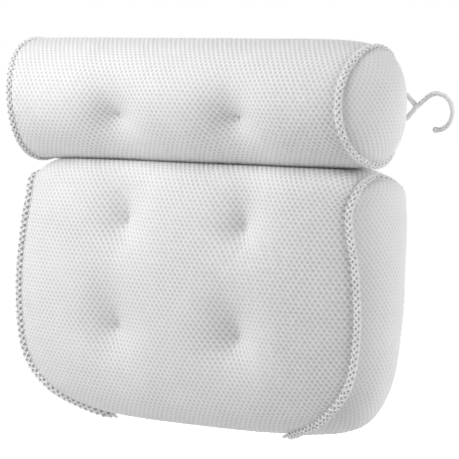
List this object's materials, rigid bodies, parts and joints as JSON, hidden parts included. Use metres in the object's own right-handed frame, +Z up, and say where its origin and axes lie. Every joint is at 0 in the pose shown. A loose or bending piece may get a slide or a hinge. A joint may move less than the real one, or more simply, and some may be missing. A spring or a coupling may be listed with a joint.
{
  "type": "bath pillow",
  "caption": "Bath pillow of white spacer mesh: a tufted neck roll hinged by a fabric strip to a tufted back cushion, with suction cups behind and a hook to hang it up.",
  "frame": {"origin": "the middle of the four suction cups of the back cushion, in the plane of their rims, which is the plane of the bath's wall", "axes": "+Y into the bath's wall, +X along the neck roll towards the hook, +Z up"},
  "size_m": [0.407, 0.1153, 0.3294],
  "materials": {
    "mesh_fabric": "white polyester spacer mesh with small open holes",
    "overlock_thread": "white polyester thread, overlocked",
    "wadding": "loose white polyester fibre",
    "webbing": "white woven polyester tape",
    "hook_plastic": "moulded white plastic, satin",
    "eyelet_plastic": "moulded white plastic",
    "cup_vinyl": "clear soft vinyl, glossy"
  },
  "bodies": {
    "cushion": {"cushion_cover": "mesh_fabric", "cushion_gusset_left": "mesh_fabric", "cushion_gusset_right": "mesh_fabric", "cushion_seam_left": "overlock_thread", "cushion_seam_right": "overlock_thread", "cushion_fill": "wadding", "cushion_tuft_tie_lower_left": "overlock_thread", "cushion_tuft_tie_lower_right": "overlock_thread", "cushion_tuft_tie_upper_left": "overlock_thread", "cushion_tuft_tie_upper_right": "overlock_thread", "cup_eyelet_upper_left": "eyelet_plastic", "cup_eyelet_upper_right": "eyelet_plastic", "cup_eyelet_lower_left": "eyelet_plastic", "cup_eyelet_lower_right": "eyelet_plastic", "hinge_strip": "webbing"},
    "roll": {"roll_cover": "mesh_fabric", "roll_end_left": "mesh_fabric", "roll_end_right": "mesh_fabric", "roll_seam_left": "overlock_thread", "roll_seam_right": "overlock_thread", "roll_fill": "wadding", "roll_tuft_tie_left": "overlock_thread", "roll_tuft_tie_right": "overlock_thread", "cup_eyelet_roll_left": "eyelet_plastic", "cup_eyelet_roll_right": "eyelet_plastic", "hook_loop": "webbing"},
    "hook": {"hook": "hook_plastic"},
    "cup_roll_left": {"suction_cup_roll_left": "cup_vinyl"},
    "cup_roll_right": {"suction_cup_roll_right": "cup_vinyl"},
    "cup_upper_left": {"suction_cup_upper_left": "cup_vinyl"},
    "cup_upper_right": {"suction_cup_upper_right": "cup_vinyl"},
    "cup_lower_left": {"suction_cup_lower_left": "cup_vinyl"},
    "cup_lower_right": {"suction_cup_lower_right": "cup_vinyl"}
  },
  "joints": [
    {"name": "roll_fold", "type": "hinge", "parent": "cushion", "child": "roll", "pos_m": [0, -0.02771, 0.12593], "axis": [-1, 0, 0], "range_deg": [0, 90]},
    {"name": "hook_swing", "type": "hinge", "parent": "roll", "child": "hook", "pos_m": [0.166, -0.00981, 0.1593], "axis": [0, 0, 1], "range_deg": [-10, 150]},
    {"name": "cup_turn_roll_left", "type": "hinge", "parent": "roll", "child": "cup_roll_left", "pos_m": [-0.105, 0, 0.1627], "axis": [0, 1, 0], "continuous": true},
    {"name": "cup_turn_roll_right", "type": "hinge", "parent": "roll", "child": "cup_roll_right", "pos_m": [0.105, 0, 0.1627], "axis": [0, 1, 0], "continuous": true},
    {"name": "cup_turn_upper_left", "type": "hinge", "parent": "cushion", "child": "cup_upper_left", "pos_m": [-0.105, 0, 0.06], "axis": [0, 1, 0], "continuous": true},
    {"name": "cup_turn_upper_right", "type": "hinge", "parent": "cushion", "child": "cup_upper_right", "pos_m": [0.105, 0, 0.06], "axis": [0, 1, 0], "continuous": true},
    {"name": "cup_turn_lower_left", "type": "hinge", "parent": "cushion", "child": "cup_lower_left", "pos_m": [-0.105, 0, -0.06], "axis": [0, 1, 0], "continuous": true},
    {"name": "cup_turn_lower_right", "type": "hinge", "parent": "cushion", "child": "cup_lower_right", "pos_m": [0.105, 0, -0.06], "axis": [0, 1, 0], "continuous": true}
  ]
}
